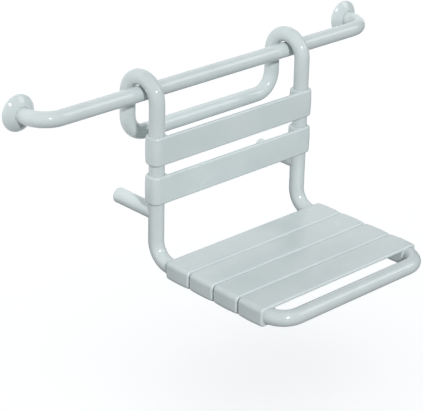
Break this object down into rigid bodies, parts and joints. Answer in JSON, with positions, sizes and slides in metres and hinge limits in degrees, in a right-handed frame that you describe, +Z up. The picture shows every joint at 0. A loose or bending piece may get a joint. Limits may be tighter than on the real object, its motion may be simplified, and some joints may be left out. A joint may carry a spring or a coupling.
{
  "type": "hook-in shower seat",
  "caption": "Slatted shower seat with a backrest on a bent nylon tube frame that hooks over a horizontal wall grab rail and props itself on the wall.",
  "frame": {"origin": "on the wall plane, midway between the two wall roses, at the height of the rail's axis", "axes": "+X along the rail to the right as seen from the front, +Y into the wall, +Z up; the seat reaches towards -Y"},
  "size_m": [0.998, 0.5015, 0.4243],
  "materials": {
    "tube_nylon": "glossy pale grey-green nylon sheath",
    "slat_nylon": "moulded pale grey-green nylon, soft gloss",
    "core_steel": "zinc-plated steel tube and plate",
    "screw_steel": "bright stainless steel",
    "buffer_rubber": "soft grey elastomer, matt"
  },
  "bodies": {
    "rail": {"rail_sheath": "tube_nylon", "rail_core": "core_steel", "left_wall_plate": "core_steel", "right_wall_plate": "core_steel", "rail_grub_screws": "screw_steel"},
    "left_cover": {"left_rose_cover": "tube_nylon"},
    "right_cover": {"right_rose_cover": "tube_nylon"},
    "seat": {"left_hook_sheath": "tube_nylon", "right_hook_sheath": "tube_nylon", "left_upright_sheath": "tube_nylon", "right_upright_sheath": "tube_nylon", "seat_loop_sheath": "tube_nylon", "left_standoff": "tube_nylon", "right_standoff": "tube_nylon", "upper_back_slat": "slat_nylon", "lower_back_slat": "slat_nylon", "seat_slat_1": "slat_nylon", "seat_slat_2": "slat_nylon", "seat_slat_3": "slat_nylon", "seat_slat_4": "slat_nylon", "left_hook_core": "core_steel", "right_hook_core": "core_steel", "left_upright_core": "core_steel", "right_upright_core": "core_steel", "seat_loop_core": "core_steel", "cross_spigot": "core_steel", "left_upper_spigot": "core_steel", "right_upper_spigot": "core_steel", "left_lower_spigot": "core_steel", "right_lower_spigot": "core_steel", "back_slat_screws": "screw_steel", "seat_slat_screws": "screw_steel", "left_standoff_bolt": "screw_steel", "right_standoff_bolt": "screw_steel", "left_wall_buffer": "buffer_rubber", "right_wall_buffer": "buffer_rubber"}
  },
  "joints": [
    {"name": "seat_lift", "type": "slide", "parent": "rail", "child": "seat", "axis": [0, 0, 1], "range_m": [0, 0.15]},
    {"name": "left_cover_slide", "type": "slide", "parent": "rail", "child": "left_cover", "axis": [0, -1, 0], "range_m": [0, 0.012]},
    {"name": "right_cover_slide", "type": "slide", "parent": "rail", "child": "right_cover", "axis": [0, -1, 0], "range_m": [0, 0.012]}
  ]
}
